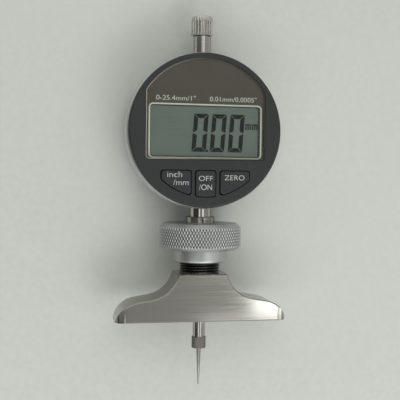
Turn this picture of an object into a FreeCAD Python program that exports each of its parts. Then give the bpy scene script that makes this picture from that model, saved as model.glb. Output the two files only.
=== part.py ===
import FreeCAD, Part
import math
import os

Vector = FreeCAD.Vector

# Digital depth gauge, in millimetres.
# X runs across the gauge, Y up the spindle axis and Z out of the display.
# The origin is where the spindle axis meets the measuring face of the base.
# The gauge lies on its back: on the rim of the clamp nut and the top of the back cover.

# Fits
fixed_gap = 0.02            # round a piece that is seated for good
running_gap = 0.05          # round a shaft or cone that turns or slides
button_gap = 0.3            # round a key cap in its opening

# Base
base_width = 65.0
base_thickness = 16.0
base_height = 17.7
base_neck_width = 18.6
neck_arc_radius = 11.9
shoulder_height = 8.3       # lowest point of the two neck arcs
end_arc_radius = 9.85
end_arc_drop = 2.2          # of the end arcs' middles under the measuring face
base_corner_radius = 4.2
base_edge_chamfer = 0.4

# Stem
stem_radius = 4.0
stem_wall = 0.9
stem_end_gap = 2.0          # under the stem, in the post's bore
stem_shown = 3.1            # between the collet and the dial case
bush_length = 8.0

# Spindle, contact point and lift knob
spindle_radius = 2.25
spindle_travel = 25.4       # the whole measuring range, shown run out
contact_head_radius = 2.7
contact_head_length = 4.3
contact_head_chamfer = 0.4
contact_head_clearance = 0.1
needle_length = 14.25
needle_radius = 0.85
needle_tip_radius = 0.25
contact_stud_radius = 1.2
contact_stud_length = 4.0
knob_radius = 4.2
knob_barrel_height = 5.4
knob_shoulder_height = 1.8
knob_crown_step = 0.5       # from the crown out to the barrel
knob_dome = 0.85
knob_edge = 0.5
knob_flutes = 24
knob_flute_radius = 0.42
knob_flute_depth = 0.36
spindle_in_knob = 6.0
neck_shown = 7.0            # between the dial case and the knob
upper_bush_wall = 0.9
bush_knob_gap = 0.3

# Threaded post, between the base and the dial clamp
post_radius = 7.65
post_floor = 2.5            # under the collet's bore
post_spigot_radius = 5.0
post_spigot_length = 8.0
thread_shown = 4.15         # between the base and the nut

# Split collet
collet_bore_clearance = 0.03
collet_wall = 1.05
collet_cone_step = 1.05
collet_cone_height = 3.2
collet_shoulder = 0.7
collet_ring_step = 0.4
collet_ring_height = 2.7
collet_edge_chamfer = 0.2
collet_slit = 0.6

# Clamp nut and the pressure ring in it
nut_step = 5.2              # from the sleeve out to the head
nut_head_height = 9.95
nut_top_chamfer = 1.7
nut_foot_chamfer = 1.35
nut_sleeve_wall = 2.6
nut_sleeve_height = 4.8
nut_sleeve_rounding = 1.0
nut_lip = 0.9
ring_height = 2.7
ring_outer_gap = 0.1

# Dial case, its stem boss and the two cross bars that carry the guide rod
case_radius = 29.0
case_wall = 2.5
case_rear_step = 1.4
case_taper_length = 6.0
case_edge_chamfer = 0.4
post_size = 3.0
post_inset = 2.9            # of the screw posts' middles from the case's bore
stem_boss_half_width = 7.0
stem_boss_top_inset = 3.9   # from the case's bore
stem_boss_foot = 1.0        # in the case's wall
stem_boss_front_wall = 1.2
stem_boss_rear_wall = 1.6
bar_inset = 1.5             # of the lower bar's foot from the case's bore
bar_height = 4.0
bar_floor = 2.0             # over the stem
bar_rear = -5.4
bar_rod_margin = 1.8
bar_spring_margin = 1.25
top_boss_rod_margin = 1.3
top_boss_half_width = 4.8   # beyond the upper bush
top_boss_clearance = 0.6    # over the carriage when the spindle is lifted

# Front bezel, window and its printed mask
bezel_step = 0.5
bezel_thickness = 3.0
bezel_rounding = 0.8
skirt_gap = 0.15
skirt_wall = 1.15
skirt_length = 1.4
window_side_inset = 6.1     # of the window's straight sides from the bezel's rim
window_arc_inset = 1.9
window_foot_margin = 0.3    # under the display
window_corner = 1.6
window_recess = 0.1
window_thickness = 1.15
window_gap = 0.2
mask_thickness = 0.15
mask_air = 0.05
view_side_border = 0.8      # of the display behind the mask
view_foot_border = 1.15
view_offset = -0.4          # of the display's middle from the dial's centre
view_corner = 1.2

# Display
lcd_side_inset = 0.9        # of the display from the window's straight sides
lcd_height = 20.4
lcd_ledge = 0.5
lcd_thickness = 2.2
lcd_gap = 0.2
holder_margin = 0.5         # of the holder round the display
holder_depth = 1.7
holder_side_wall = 2.0
zebra_width = 1.6
zebra_wall = 0.9
zebra_inner_wall = 1.2
zebra_gap = 0.05

# Main board
board_thickness = 1.0
board_bar_gap = 0.2
board_edge_gap = 0.5
chip_radius = 5.0
chip_height = 1.0
dome_radius = 2.2
dome_height = 0.35

# Buttons
key_drop = 4.0              # of the keys' tops under the window
key_spacing = 1.75
outer_key_width = 11.05
button_corner = 1.1
middle_half_width = 3.7
button_proud = 0.5
button_edge = 0.3
button_travel = 0.5
flange_thickness = 0.95
flange_overhang = 0.6
flange_skirt_gap = 0.25
flange_foot_step = 0.55
plunger_radius = 1.4
outer_dome_inset = 5.05
outer_dome_drop = 3.7
middle_dome_drop = 4.7

# Carriage on the spindle, its guide rod and its spring
carriage_rest_gap = 1.0     # over the lower bar
carriage_length = 15.0
carriage_half_width = 7.0
carriage_rear_wall = 2.15
arm_half_depth = 2.4
guide_arm_rise = 5.0
guide_arm_length = 8.0
guide_arm_margin = 1.1
spring_arm_height = 4.0
spring_arm_margin = 0.55
rod_offset = 11.0
rod_radius = 1.2
rod_foot_depth = 2.5
rod_head_depth = 2.4
strip_thickness = 0.5
spring_offset = 11.6
spring_slack = 0.1          # of the spring round its pegs
spring_wire_radius = 0.2
spring_turns = 14
spring_peg_radius = 1.15
spring_peg_length = 2.5
spring_end_gap = 0.05
carriage_screw_radius = 1.0
carriage_screw_rise = 9.0

# Back cover
cover_chamfer = 0.5
gasket_thickness = 0.4
gasket_bore_step = 0.2
gasket_inset = 0.3

# Battery and its compartment
battery_rise = 3.0          # of the battery's centre over the dial's centre
battery_radius = 10.0
battery_thickness = 3.2
battery_cover_gap = 0.5
holder_bore_gap = 0.4
holder_wall = 1.8
holder_floor = 0.8
holder_carriage_gap = 1.2
contact_thickness = 0.3
contact_width = 4.0
contact_beyond_holder = 2.7
contact_slot_gap = 0.05
plus_contact_angle = 24.0
plus_contact_drop = 0.2     # under the cell's front
cap_plug_step = 0.9
cap_flange_step = 1.0
cap_flange = 0.8
cap_gap = 0.1
cap_coin_slot_length = 9.0
cap_coin_slot_width = 1.4
cap_coin_slot_depth = 0.6
seal_section_radius = 0.25
seal_groove_clearance = 0.05
seal_end_wall = 0.2

# Screws
screw_radius = 1.0
screw_clearance = 0.1
screw_head_radius = 1.9
board_screw_head = 0.7
board_screw_length = 5.0
cover_screw_length = 6.0
cover_head_depth = 1.0
screw_slot_width = 0.5
screw_slot_depth = 0.35
set_screw_radius = 1.5
set_screw_drop = 2.5        # under the stem's top
screw_hole_spare = 0.5      # depth of a tapped hole beyond the screw's end

axis_direction = Vector(0, 1, 0)

# Radii that follow from the sizes above
base_hole_radius = contact_head_radius + contact_head_clearance
stem_bore_radius = stem_radius - stem_wall
bush_radius = spindle_radius + running_gap + upper_bush_wall
collet_radius = stem_radius + collet_wall
collet_bore = stem_radius + collet_bore_clearance
collet_cone_radius = collet_radius + collet_cone_step
collet_ring_radius = collet_radius + collet_ring_step
nut_sleeve_radius = post_radius + running_gap + nut_sleeve_wall
nut_radius = nut_sleeve_radius + nut_step
case_bore = case_radius - case_wall
case_rear_radius = case_radius - case_rear_step
screw_circle = case_bore - post_inset
bezel_radius = case_radius - bezel_step
window_half_width = bezel_radius - window_side_inset
window_arc_radius = bezel_radius - window_arc_inset
skirt_radius = case_bore - skirt_gap
flange_arc_radius = skirt_radius - skirt_wall - flange_skirt_gap
button_arc_radius = flange_arc_radius - flange_foot_step
board_radius = case_bore - board_edge_gap
gasket_inner_radius = case_bore + gasket_bore_step
holder_bore_radius = battery_radius + holder_bore_gap
holder_radius = holder_bore_radius + holder_wall
contact_reach = holder_radius + contact_beyond_holder
cap_plug_radius = battery_radius + cap_plug_step
cap_radius = cap_plug_radius + cap_flange_step
spring_mean_radius = spring_peg_radius + spring_slack + spring_wire_radius

# Widths and heights of the display
lcd_width = 2 * (window_half_width - lcd_side_inset)
view_width = lcd_width - 2 * view_side_border
view_height = lcd_height - 2 * view_foot_border
holder_width = lcd_width + 2 * holder_margin
holder_height = lcd_height + 2 * holder_margin
zebra_length = holder_width - 2 * holder_side_wall
holder_opening_half = holder_height / 2 - zebra_wall - zebra_width - zebra_inner_wall

# Heights over the measuring face, from the base upwards
nut_bottom = base_height + thread_shown
nut_head_bottom = nut_bottom + nut_sleeve_height
nut_top = nut_head_bottom + nut_head_height
lip_bottom = nut_top - nut_lip
cone_start = lip_bottom - ring_height
cone_end = cone_start + collet_cone_height
post_top = cone_start - collet_shoulder
collet_top = cone_end + collet_ring_height
post_bore_bottom = base_height + post_floor
collet_bottom = post_bore_bottom + fixed_gap
stem_bottom = post_bore_bottom + stem_end_gap
dial_height = collet_top + stem_shown + case_radius
case_foot = dial_height - case_radius
case_top = dial_height + case_radius
stem_boss_top = dial_height - case_bore + stem_boss_top_inset
bar_bottom = dial_height - case_bore + bar_inset
bar_top = bar_bottom + bar_height
stem_top = bar_top - bar_floor
set_screw_height = stem_top - set_screw_drop
carriage_bottom = bar_top + carriage_rest_gap
carriage_top = carriage_bottom + carriage_length
guide_arm_bottom = carriage_bottom + guide_arm_rise
guide_arm_top = guide_arm_bottom + guide_arm_length
spring_arm_bottom = carriage_top - spring_arm_height
carriage_screw_height = carriage_bottom + carriage_screw_rise
top_boss_bottom = carriage_top + spindle_travel + top_boss_clearance
rod_bottom = bar_top - rod_foot_depth
rod_top = top_boss_bottom + rod_head_depth
knob_bottom = case_top + neck_shown
spindle_top = knob_bottom + spindle_in_knob
needle_tip = -spindle_travel
spindle_bottom = needle_tip + needle_length + contact_head_length
view_centre = dial_height + view_offset
battery_height = dial_height + battery_rise

# Heights over the dial's centre
window_bottom = view_offset - lcd_height / 2 - window_foot_margin
button_top = window_bottom - key_drop
board_flat = stem_boss_top - dial_height + board_bar_gap

# Sides of the bars and keys
bar_left = rod_offset + rod_radius + bar_rod_margin
bar_right = spring_offset + spring_peg_radius + bar_spring_margin
top_boss_left = rod_offset + rod_radius + top_boss_rod_margin
top_boss_right = bush_radius + top_boss_half_width
guide_arm_reach = rod_offset + rod_radius + guide_arm_margin
spring_arm_reach = spring_offset + spring_peg_radius + spring_arm_margin
button_inner = middle_half_width + key_spacing
button_outer = button_inner + outer_key_width

# Depths, stacked from the spindle's bush out to the bezel
stem_boss_front = stem_radius + stem_boss_front_wall
stem_boss_rear = -stem_radius - stem_boss_rear_wall
bar_front = bush_radius + board_bar_gap
board_rear = bar_front + board_bar_gap
board_front = board_rear + board_thickness
lcd_rear = board_front + holder_depth
lcd_front = lcd_rear + lcd_thickness
mask_rear = lcd_front + mask_air
window_rear = mask_rear + mask_thickness + mask_air
window_front = window_rear + window_thickness
bezel_front = window_front + window_recess
case_front = bezel_front - bezel_thickness
button_rear = case_front - running_gap - flange_thickness
carriage_front = board_rear - board_bar_gap - strip_thickness

# Depths, stacked from the carriage out to the back cover
carriage_rear = -spindle_radius - carriage_rear_wall
floor_front = carriage_rear - holder_carriage_gap
floor_rear = floor_front - holder_floor
battery_front = floor_rear - contact_thickness
battery_rear = battery_front - battery_thickness
inner_rear = battery_rear - battery_cover_gap
case_rear = inner_rear + gasket_thickness
case_taper_start = case_rear + case_taper_length
plus_contact_front = battery_front - plus_contact_drop
cover_thickness = cap_flange + 2 * (seal_section_radius + seal_groove_clearance) + seal_end_wall
cover_rear = inner_rear - cover_thickness


def block(x0, x1, y0, y1, z0, z1):
    return Part.makeBox(x1 - x0, y1 - y0, z1 - z0, Vector(x0, y0, z0))


def rod(radius, y0, y1, x=0.0, z=0.0):
    # A round bar along the spindle axis
    return Part.makeCylinder(radius, y1 - y0, Vector(x, y0, z), axis_direction)


def disc(radius, z0, z1, x=0.0, y=dial_height):
    # A round bar along the display's normal
    return Part.makeCylinder(radius, z1 - z0, Vector(x, y, z0), Vector(0, 0, 1))


def turned(outline):
    # A closed outline of (radius, height) points, turned about the spindle axis
    points = [Vector(radius, height, 0) for radius, height in outline]
    face = Part.Face(Part.makePolygon(points + points[:1]))
    return face.revolve(Vector(0, 0, 0), axis_direction, 360)


def turned_about_dial(outline, x=0.0, y=dial_height):
    # A closed outline of (radius, depth) points, turned about an axis along Z
    points = [Vector(x + radius, y, depth) for radius, depth in outline]
    face = Part.Face(Part.makePolygon(points + points[:1]))
    return face.revolve(Vector(x, y, 0), Vector(0, 0, 1), 360)


def upright_edges(shape):
    # The straight edges that run along Z
    found = []
    for edge in shape.Edges:
        ends = [vertex.Point for vertex in edge.Vertexes]
        if len(ends) == 2 and (ends[1] - ends[0]).cross(Vector(0, 0, 1)).Length < 1e-6:
            found.append(edge)
    return found


def rounded_block(x0, x1, y0, y1, z0, z1, radius):
    plain = block(x0, x1, y0, y1, z0, z1)
    return plain.makeFillet(radius, upright_edges(plain))


def joined(shapes):
    return shapes[0].multiFuse(shapes[1:]).removeSplitter()


def screw_places():
    # The four posts of the case, on the diagonals
    reach = screw_circle * math.sqrt(0.5)
    return [(sx * reach, dial_height + sy * reach) for sx in (-1, 1) for sy in (-1, 1)]


# Base and clamp

def base_outline():
    # The right half, from the middle of the measuring face to the middle of the top.
    # The neck arc runs into the shoulder on the line that touches both arcs.
    half = base_width / 2
    neck = base_neck_width / 2
    upper_y = shoulder_height + neck_arc_radius
    upper_x = neck + math.sqrt(neck_arc_radius ** 2 - (upper_y - base_height) ** 2)
    lower_x = half - math.sqrt(end_arc_radius ** 2 - end_arc_drop ** 2)
    lower_y = -end_arc_drop
    span = math.hypot(lower_x - upper_x, lower_y - upper_y)
    heading = math.atan2(lower_y - upper_y, lower_x - upper_x)
    normal = heading - math.acos((neck_arc_radius + end_arc_radius) / span)
    nx = math.cos(normal)
    ny = math.sin(normal)

    neck_corner = Vector(neck, base_height, 0)
    neck_end = Vector(upper_x + neck_arc_radius * nx, upper_y + neck_arc_radius * ny, 0)
    shoulder = Vector(lower_x - end_arc_radius * nx, lower_y - end_arc_radius * ny, 0)
    foot = Vector(half, 0, 0)

    corner_angle = math.atan2(base_height - upper_y, neck - upper_x) % (2 * math.pi)
    middle = (corner_angle + normal % (2 * math.pi)) / 2
    neck_middle = Vector(upper_x + neck_arc_radius * math.cos(middle),
                         upper_y + neck_arc_radius * math.sin(middle), 0)
    foot_angle = math.asin(end_arc_drop / end_arc_radius)
    shoulder_angle = math.atan2(shoulder.y - lower_y, shoulder.x - lower_x)
    half_way = (foot_angle + shoulder_angle) / 2
    end_middle = Vector(lower_x + end_arc_radius * math.cos(half_way),
                        lower_y + end_arc_radius * math.sin(half_way), 0)
    return [Part.LineSegment(Vector(0, 0, 0), foot).toShape(),
            Part.Arc(foot, end_middle, shoulder).toShape(),
            Part.LineSegment(shoulder, neck_end).toShape(),
            Part.Arc(neck_end, neck_middle, neck_corner).toShape(),
            Part.LineSegment(neck_corner, Vector(0, base_height, 0)).toShape()]


def make_base():
    right = base_outline()
    left = [edge.mirror(Vector(0, 0, 0), Vector(1, 0, 0)) for edge in right]
    wire = Part.Wire(Part.__sortEdges__(right + left))
    half = base_thickness / 2
    plate = Part.Face(wire).extrude(Vector(0, 0, base_thickness))
    plate.translate(Vector(0, 0, -half))
    plate = plate.removeSplitter()
    rims = []
    for edge in plate.Edges:
        if all(abs(abs(vertex.Z) - half) < 1e-6 for vertex in edge.Vertexes):
            if abs(edge.Vertexes[0].Z - edge.Vertexes[-1].Z) < 1e-6:
                rims.append(edge)
    plate = plate.makeChamfer(base_edge_chamfer, rims)
    width = base_width / 2
    plan = Part.makeBox(base_width, base_height, base_thickness, Vector(-width, 0, -half))
    corners = [edge for edge in plan.Edges
               if abs(edge.Vertexes[0].Y - edge.Vertexes[1].Y) > base_height / 2]
    plan = plan.makeFillet(base_corner_radius, corners)
    socket = rod(post_spigot_radius + fixed_gap, base_height - post_spigot_length, base_height)
    bore = rod(base_hole_radius, 0, base_height)
    return plate.common(plan).cut(socket).cut(bore)


def make_threaded_post():
    # The visible thread is cut on the upper barrel, above the base
    return turned([(base_hole_radius, base_height - post_spigot_length + fixed_gap),
                   (post_spigot_radius, base_height - post_spigot_length + fixed_gap),
                   (post_spigot_radius, base_height),
                   (post_radius, base_height),
                   (post_radius, post_top),
                   (collet_radius + fixed_gap, post_top),
                   (collet_radius + fixed_gap, post_bore_bottom),
                   (base_hole_radius, post_bore_bottom)])


def collet_cone_at(height):
    share = (height - cone_start) / (cone_end - cone_start)
    return collet_cone_radius + share * (collet_ring_radius - collet_cone_radius)


def make_split_collet():
    body = turned([(collet_bore, collet_bottom),
                   (collet_radius, collet_bottom),
                   (collet_radius, post_top),
                   (collet_cone_radius, post_top),
                   (collet_cone_radius, cone_start),
                   (collet_ring_radius, cone_end),
                   (collet_ring_radius, collet_top - collet_edge_chamfer),
                   (collet_ring_radius - collet_edge_chamfer, collet_top),
                   (collet_bore, collet_top)])
    slit = block(-collet_slit / 2, collet_slit / 2, collet_bottom - 1, collet_top + 1,
                 0, collet_cone_radius + 1)
    return body.cut(slit)


def make_clamp_ring():
    # The pressure ring, which squeezes the collet's cone
    bottom = cone_start + running_gap
    top = lip_bottom - running_gap
    outer = post_radius + running_gap - ring_outer_gap
    return turned([(collet_cone_at(bottom) + running_gap, bottom),
                   (outer, bottom),
                   (outer, top),
                   (collet_cone_at(top) + running_gap, top)])


def make_clamp_nut():
    bore = post_radius + running_gap
    lip = collet_cone_at(lip_bottom) + running_gap
    body = turned([(bore, nut_bottom),
                   (nut_sleeve_radius, nut_bottom),
                   (nut_sleeve_radius, nut_head_bottom),
                   (nut_radius - nut_foot_chamfer, nut_head_bottom),
                   (nut_radius, nut_head_bottom + nut_foot_chamfer),
                   (nut_radius, nut_top - nut_top_chamfer),
                   (nut_radius - nut_top_chamfer, nut_top),
                   (lip, nut_top),
                   (lip, lip_bottom),
                   (bore, lip_bottom)])
    rims = []
    for edge in body.Edges:
        circle = hasattr(edge.Curve, "Radius")
        if circle and abs(edge.Curve.Radius - nut_sleeve_radius) < 1e-6:
            if abs(edge.Curve.Center.y - nut_bottom) < 1e-6:
                rims.append(edge)
    return body.makeFillet(nut_sleeve_rounding, rims)


# Stem, spindle and what turns or slides with it

def make_stem():
    return rod(stem_radius, stem_bottom, stem_top).cut(rod(stem_bore_radius, stem_bottom, stem_top))


def make_lower_bush():
    top = stem_bottom + bush_length
    outer = rod(stem_bore_radius - fixed_gap, stem_bottom, top)
    return outer.cut(rod(spindle_radius + running_gap, stem_bottom, top))


def make_upper_bush():
    top = knob_bottom - bush_knob_gap
    return rod(bush_radius, top_boss_bottom, top).cut(rod(spindle_radius + running_gap, top_boss_bottom, top))


def make_spindle():
    bar = rod(spindle_radius, spindle_bottom, spindle_top)
    depth = contact_stud_length + 2 * fixed_gap
    return bar.cut(rod(contact_stud_radius + fixed_gap, spindle_bottom, spindle_bottom + depth))


def make_contact_point():
    head_bottom = spindle_bottom - contact_head_length
    return turned([(0, needle_tip),
                   (needle_tip_radius, needle_tip),
                   (needle_radius, head_bottom),
                   (contact_head_radius - contact_head_chamfer, head_bottom),
                   (contact_head_radius, head_bottom + contact_head_chamfer),
                   (contact_head_radius, spindle_bottom - contact_head_chamfer),
                   (contact_head_radius - contact_head_chamfer, spindle_bottom),
                   (contact_stud_radius, spindle_bottom),
                   (contact_stud_radius, spindle_bottom + contact_stud_length),
                   (0, spindle_bottom + contact_stud_length)])


def make_lift_knob():
    edge = knob_bottom + knob_edge
    barrel_top = knob_bottom + knob_barrel_height
    top = barrel_top + knob_shoulder_height
    crown_radius = knob_radius - knob_crown_step
    dome = (crown_radius ** 2 + knob_dome ** 2) / (2 * knob_dome)
    middle_radius = crown_radius / 2
    middle = top + knob_dome - dome + math.sqrt(dome ** 2 - middle_radius ** 2)
    points = [Vector(0, top + knob_dome, 0), Vector(0, knob_bottom, 0),
              Vector(knob_radius - knob_edge, knob_bottom, 0), Vector(knob_radius, edge, 0),
              Vector(knob_radius, barrel_top, 0), Vector(crown_radius, top, 0)]
    edges = [Part.LineSegment(a, b).toShape() for a, b in zip(points, points[1:])]
    edges.append(Part.Arc(points[-1], Vector(middle_radius, middle, 0), points[0]).toShape())
    barrel = Part.Face(Part.Wire(edges)).revolve(Vector(0, 0, 0), axis_direction, 360)
    reach = knob_radius + knob_flute_radius - knob_flute_depth
    flutes = []
    for number in range(knob_flutes):
        angle = 2 * math.pi * number / knob_flutes
        flutes.append(rod(knob_flute_radius, knob_bottom - 1, top + knob_dome + 1,
                          reach * math.cos(angle), reach * math.sin(angle)))
    socket = rod(spindle_radius + fixed_gap, knob_bottom, spindle_top + fixed_gap)
    return barrel.cut(flutes).cut(socket)


def make_carriage():
    # Clamped on the spindle: it carries the scale strip, slides on the guide rod
    # and takes the pull of the return spring.
    body = block(-carriage_half_width, carriage_half_width, carriage_bottom, carriage_top,
                 carriage_rear, carriage_front)
    guide_arm = block(-guide_arm_reach, -carriage_half_width, guide_arm_bottom, guide_arm_top,
                      -arm_half_depth, arm_half_depth)
    spring_arm = block(carriage_half_width, spring_arm_reach, spring_arm_bottom, carriage_top,
                       -arm_half_depth, arm_half_depth)
    peg = rod(spring_peg_radius, spring_arm_bottom - spring_peg_length, spring_arm_bottom,
              spring_offset)
    whole = joined([body, guide_arm, spring_arm, peg])
    whole = whole.cut(rod(spindle_radius + fixed_gap, carriage_bottom, carriage_top))
    whole = whole.cut(rod(rod_radius + running_gap, guide_arm_bottom, guide_arm_top, -rod_offset))
    screw_hole = disc(carriage_screw_radius + fixed_gap, carriage_rear, 0,
                      0, carriage_screw_height)
    return whole.cut(screw_hole)


def make_carriage_screw():
    tip = -spindle_radius - fixed_gap
    screw = disc(carriage_screw_radius, carriage_rear + fixed_gap, tip, 0, carriage_screw_height)
    slot = block(-carriage_screw_radius, carriage_screw_radius,
                 carriage_screw_height - screw_slot_width / 2,
                 carriage_screw_height + screw_slot_width / 2,
                 carriage_rear, carriage_rear + fixed_gap + screw_slot_depth)
    return screw.cut(slot)


def make_scale_strip():
    return block(-carriage_half_width, carriage_half_width, carriage_bottom, carriage_top,
                 carriage_front, carriage_front + strip_thickness)


def make_guide_rod():
    return rod(rod_radius, rod_bottom + fixed_gap, rod_top - fixed_gap, -rod_offset)


def make_return_spring():
    start = bar_top + spring_wire_radius + spring_end_gap
    end = spring_arm_bottom - spring_wire_radius - spring_end_gap
    length = end - start
    helix = Part.makeHelix(length / spring_turns, length, spring_mean_radius)
    section = Part.Wire(Part.makeCircle(spring_wire_radius, Vector(spring_mean_radius, 0, 0),
                                        Vector(0, 1, 0)))
    coil = Part.Wire(helix).makePipeShell([section], True, True)
    coil.rotate(Vector(0, 0, 0), Vector(1, 0, 0), -90)
    coil.translate(Vector(spring_offset, start, 0))
    return coil


# Dial case

def case_barrel():
    # The ring, drawn in towards the back
    return turned_about_dial([(case_bore, case_rear),
                              (case_rear_radius, case_rear),
                              (case_radius, case_taper_start),
                              (case_radius, case_front - case_edge_chamfer),
                              (case_radius - case_edge_chamfer, case_front),
                              (case_bore, case_front)])


def make_case_body():
    parts = [case_barrel()]
    for x, y in screw_places():
        parts.append(disc(post_size, inner_rear, board_rear, x, y))
    parts.append(block(-stem_boss_half_width, stem_boss_half_width,
                       case_foot + stem_boss_foot, stem_boss_top,
                       stem_boss_rear, stem_boss_front))
    bar = block(-bar_left, bar_right, bar_bottom, bar_top, bar_rear, bar_front)
    top_boss = block(-top_boss_left, top_boss_right, top_boss_bottom, case_top,
                     bar_rear, bar_front)
    limit = disc(case_bore + case_wall / 2, case_rear, case_front)
    parts.append(bar.common(limit))
    parts.append(top_boss.common(limit))
    parts.append(rod(spring_peg_radius, bar_top, bar_top + spring_peg_length, spring_offset))
    body = joined(parts)
    for x, y in screw_places():
        hole = screw_radius + fixed_gap
        rear_end = cover_rear + cover_screw_length + screw_hole_spare
        front_end = board_front - board_screw_length - screw_hole_spare
        body = body.cut(disc(hole, inner_rear, rear_end, x, y))
        body = body.cut(disc(hole, front_end, board_rear, x, y))
    body = body.cut(rod(stem_radius + fixed_gap, case_foot, stem_top + fixed_gap))
    body = body.cut(rod(base_hole_radius, stem_top, bar_top))
    body = body.cut(rod(bush_radius + fixed_gap, top_boss_bottom, case_top))
    body = body.cut(rod(rod_radius + fixed_gap, rod_bottom, rod_top, -rod_offset))
    return body.cut(disc(set_screw_radius + fixed_gap, stem_boss_rear - 1, 0, 0, set_screw_height))


def make_stem_set_screw():
    screw = disc(set_screw_radius, stem_boss_rear, -stem_radius - fixed_gap, 0, set_screw_height)
    slot = block(-set_screw_radius, set_screw_radius,
                 set_screw_height - screw_slot_width / 2, set_screw_height + screw_slot_width / 2,
                 stem_boss_rear, stem_boss_rear + screw_slot_depth)
    return screw.cut(slot)


# Bezel, window and buttons

def window_form(inset, z0, z1):
    # The window's outline: straight sides and foot, and an arc on the dial's centre
    half = window_half_width - inset
    plate = rounded_block(-half, half, dial_height + window_bottom + inset,
                          dial_height + window_arc_radius, z0, z1, window_corner - inset)
    return plate.common(disc(window_arc_radius - inset, z0, z1))


def button_form(x0, x1, arc, z0, z1, grow, corner):
    # A key between its upright sides, with its foot on an arc on the dial's centre
    plate = block(x0 - grow, x1 + grow, dial_height - arc - 1,
                  dial_height + button_top + grow, z0, z1)
    plate = plate.common(disc(arc, z0, z1))
    return plate.makeFillet(corner, upright_edges(plate))


def key_places():
    # Name, left and right side, and the middle of the switch dome
    outer_x = button_inner + outer_dome_inset
    outer_y = button_top - outer_dome_drop
    left = ("button_inch_mm", -button_outer, -button_inner, -outer_x, outer_y)
    middle = ("button_off_on", -middle_half_width, middle_half_width, 0.0,
              button_top - middle_dome_drop)
    right = ("button_zero", button_inner, button_outer, outer_x, outer_y)
    return [left, middle, right]


def make_button(x0, x1, dome_x, dome_y):
    front = bezel_front + button_proud
    cap = button_form(x0, x1, button_arc_radius, button_rear, front, 0, button_corner)
    edges = [edge for edge in cap.Edges if all(abs(v.Z - front) < 1e-6 for v in edge.Vertexes)]
    cap = cap.makeFillet(button_edge, edges)
    flange = button_form(x0, x1, flange_arc_radius, button_rear,
                         button_rear + flange_thickness, flange_overhang, button_corner)
    plunger_end = board_front + dome_height + button_travel + running_gap
    plunger = disc(plunger_radius, plunger_end, button_rear, dome_x, dial_height + dome_y)
    return joined([cap, flange, plunger])


def make_front_bezel():
    front = bezel_front
    plate = disc(bezel_radius, case_front, front)
    rim = [edge for edge in plate.Edges
           if hasattr(edge.Curve, "Center") and abs(edge.Curve.Center.z - front) < 1e-6]
    plate = plate.makeFillet(bezel_rounding, rim)
    skirt = disc(skirt_radius, case_front - skirt_length, case_front)
    skirt = skirt.cut(disc(skirt_radius - skirt_wall, case_front - skirt_length, case_front))
    body = joined([plate, skirt])
    body = body.cut(window_form(0, mask_rear, front))
    half = lcd_width / 2 + lcd_gap
    tall = lcd_height / 2 + lcd_gap
    body = body.cut(block(-half, half, view_centre - tall, view_centre + tall,
                          case_front - skirt_length, mask_rear))
    for name, x0, x1, dome_x, dome_y in key_places():
        body = body.cut(button_form(x0, x1, button_arc_radius + button_gap,
                                    case_front, front, button_gap, button_corner))
    return body


def make_window_panel():
    return window_form(window_gap, window_rear, window_front)


def make_window_mask():
    film = window_form(window_gap, mask_rear, mask_rear + mask_thickness)
    half = view_width / 2
    tall = view_height / 2
    return film.cut(rounded_block(-half, half, view_centre - tall, view_centre + tall,
                                  mask_rear, mask_rear + mask_thickness, view_corner))


# Display and main board

def make_lcd_panel():
    half = lcd_width / 2
    tall = lcd_height / 2
    middle = (lcd_rear + lcd_front) / 2
    rear_glass = block(-half, half, view_centre - tall, view_centre + tall, lcd_rear, middle)
    front_glass = block(-half, half, view_centre - tall + lcd_ledge,
                        view_centre + tall - lcd_ledge, middle, lcd_front)
    return joined([rear_glass, front_glass])


def zebra_bounds():
    # Lower and upper edge of each strip's slot in the holder
    outer = holder_height / 2 - zebra_wall
    inner = outer - zebra_width
    return [(view_centre - outer, view_centre - inner), (view_centre + inner, view_centre + outer)]


def make_lcd_holder():
    half = holder_width / 2
    tall = holder_height / 2
    frame = block(-half, half, view_centre - tall, view_centre + tall, board_front, lcd_rear)
    half = zebra_length / 2
    tall = holder_opening_half
    frame = frame.cut(block(-half, half, view_centre - tall, view_centre + tall,
                            board_front, lcd_rear))
    for low, high in zebra_bounds():
        frame = frame.cut(block(-half, half, low, high, board_front, lcd_rear))
    return frame


def make_zebra_strips():
    half = zebra_length / 2 - zebra_gap
    strips = [block(-half, half, low + zebra_gap, high - zebra_gap, board_front, lcd_rear)
              for low, high in zebra_bounds()]
    return Part.makeCompound(strips)


def make_main_board():
    board = disc(board_radius, board_rear, board_front)
    board = board.common(block(-board_radius, board_radius, dial_height + board_flat,
                               dial_height + board_radius, board_rear, board_front))
    for x, y in screw_places():
        board = board.cut(disc(screw_radius + screw_clearance, board_rear, board_front, x, y))
    return board


def make_controller_chip():
    # The bare chip under its drop of black resin, inside the display's holder
    ball_radius = (chip_radius ** 2 + chip_height ** 2) / (2 * chip_height)
    centre = Vector(0, view_centre, board_front + chip_height - ball_radius)
    return Part.makeSphere(ball_radius, centre).common(
        disc(chip_radius, board_front, board_front + chip_height, 0, view_centre))


def make_key_domes():
    domes = []
    for name, x0, x1, dome_x, dome_y in key_places():
        domes.append(turned_about_dial([(0, board_front),
                                        (dome_radius, board_front),
                                        (dome_radius / 2, board_front + dome_height),
                                        (0, board_front + dome_height)],
                                       dome_x, dial_height + dome_y))
    return Part.makeCompound(domes)


def make_board_screws():
    screws = []
    for x, y in screw_places():
        head = disc(screw_head_radius, board_front, board_front + board_screw_head, x, y)
        shank = disc(screw_radius, board_front - board_screw_length, board_front, x, y)
        slot = block(x - screw_head_radius, x + screw_head_radius,
                     y - screw_slot_width / 2, y + screw_slot_width / 2,
                     board_front + board_screw_head - screw_slot_depth,
                     board_front + board_screw_head)
        screws.append(joined([head, shank]).cut(slot))
    return Part.makeCompound(screws)


# Back cover and battery

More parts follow.
